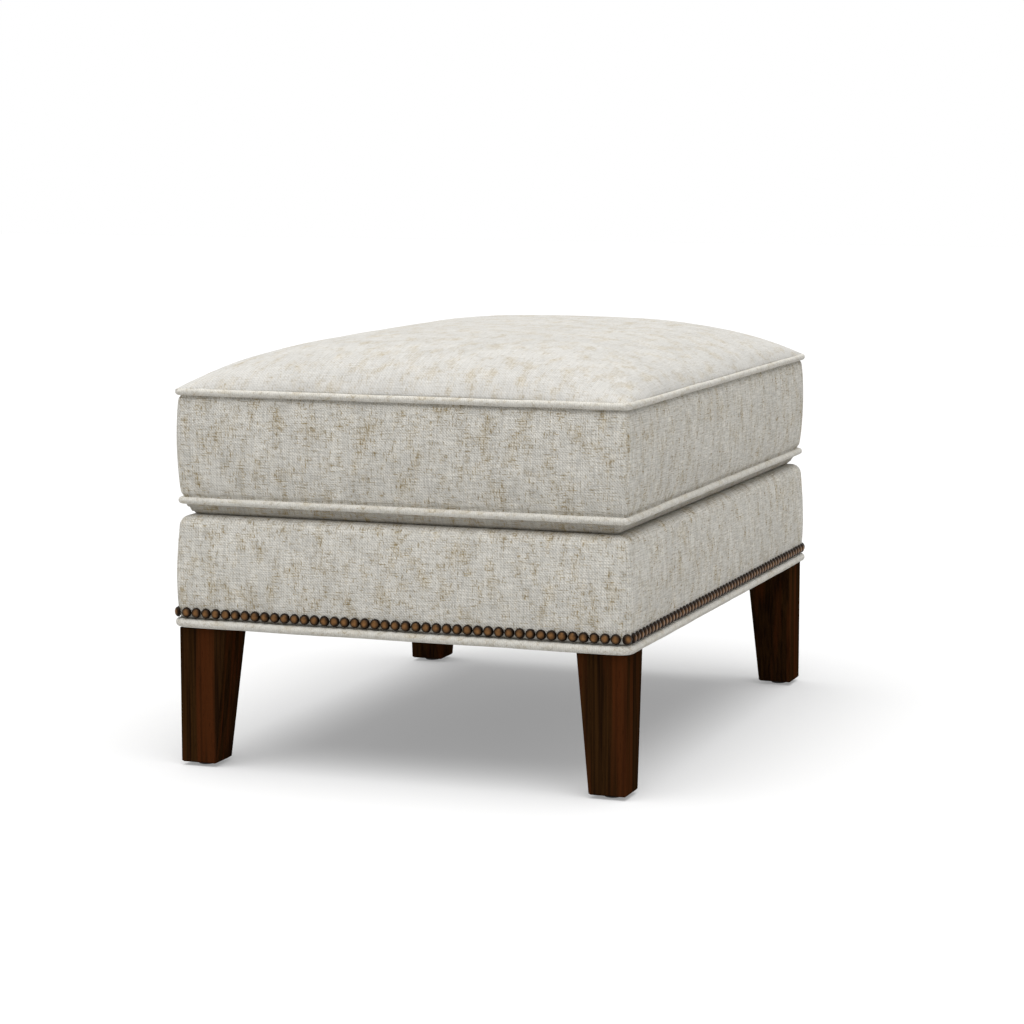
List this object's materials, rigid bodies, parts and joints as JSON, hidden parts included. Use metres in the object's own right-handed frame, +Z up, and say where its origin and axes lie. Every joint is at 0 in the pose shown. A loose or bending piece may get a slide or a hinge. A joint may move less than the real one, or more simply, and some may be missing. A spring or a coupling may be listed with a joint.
{
  "type": "upholstered footstool",
  "caption": "Rectangular footstool with a loose crowned box cushion on a nail-trimmed upholstered base and tapered square wooden legs.",
  "frame": {"origin": "on the floor, under the middle of the footstool", "axes": "+X to the right across the short side, +Y to the back along the long side, +Z up"},
  "size_m": [0.524, 0.724, 0.4655],
  "materials": {
    "leg_wood": "satin espresso stain",
    "glide_nylon": "moulded",
    "steel": "zinc plated",
    "frame_wood": "sawn, unfinished",
    "padding": "foam and polyester fibre",
    "deck_cloth": "plain woven cotton",
    "dust_cloth": "non-woven cloth",
    "cover_fabric": "heathered linen-look weave",
    "nail_brass": "antiqued",
    "zip_tape": "woven tape",
    "zip_chain": "nylon coil",
    "zip_metal": "plated die casting"
  },
  "bodies": {
    "base": {"leg_back_right": "leg_wood", "post_back_right": "frame_wood", "leg_back_left": "leg_wood", "post_back_left": "frame_wood", "leg_front_left": "leg_wood", "post_front_left": "frame_wood", "leg_front_right": "leg_wood", "post_front_right": "frame_wood", "glides": "glide_nylon", "hanger_bolts": "steel", "threaded_inserts": "steel", "rail_right": "frame_wood", "rail_back": "frame_wood", "rail_left": "frame_wood", "rail_front": "frame_wood", "cross_rail": "frame_wood", "rail_dowels": "frame_wood", "seat_springs": "steel", "spring_clips": "steel", "spring_insulator": "padding", "deck_pad": "padding", "deck_cloth": "deck_cloth", "pad_right": "padding", "cover_right": "cover_fabric", "pad_back": "padding", "cover_back": "cover_fabric", "pad_left": "padding", "cover_left": "cover_fabric", "pad_front": "padding", "cover_front": "cover_fabric", "dust_cover": "dust_cloth", "base_welt": "cover_fabric", "nails": "nail_brass"},
    "cushion": {"foam_core": "padding", "fibre_top": "padding", "fibre_bottom": "padding", "top_panel": "cover_fabric", "bottom_panel": "cover_fabric", "boxing_right": "cover_fabric", "boxing_left": "cover_fabric", "boxing_front": "cover_fabric", "boxing_back_upper": "cover_fabric", "boxing_back_lower": "cover_fabric", "welt_lower": "cover_fabric", "welt_upper": "cover_fabric", "zip_tape_upper": "zip_tape", "zip_tape_lower": "zip_tape", "zip_chain": "zip_chain", "zip_stops": "zip_chain"},
    "zip_slider": {"zip_slider": "zip_metal"},
    "zip_pull": {"zip_pull": "zip_metal"}
  },
  "joints": [
    {"name": "cushion_lift", "type": "slide", "parent": "base", "child": "cushion", "axis": [0, 0, 1], "range_m": [0, 0.2]},
    {"name": "zip_slide", "type": "slide", "parent": "cushion", "child": "zip_slider", "axis": [1, 0, 0], "range_m": [0, 0.46]},
    {"name": "pull_pivot", "type": "hinge", "parent": "zip_slider", "child": "zip_pull", "pos_m": [-0.23, 0.3599, 0.34965], "axis": [0, 0, 1], "range_deg": [0, 175]}
  ]
}
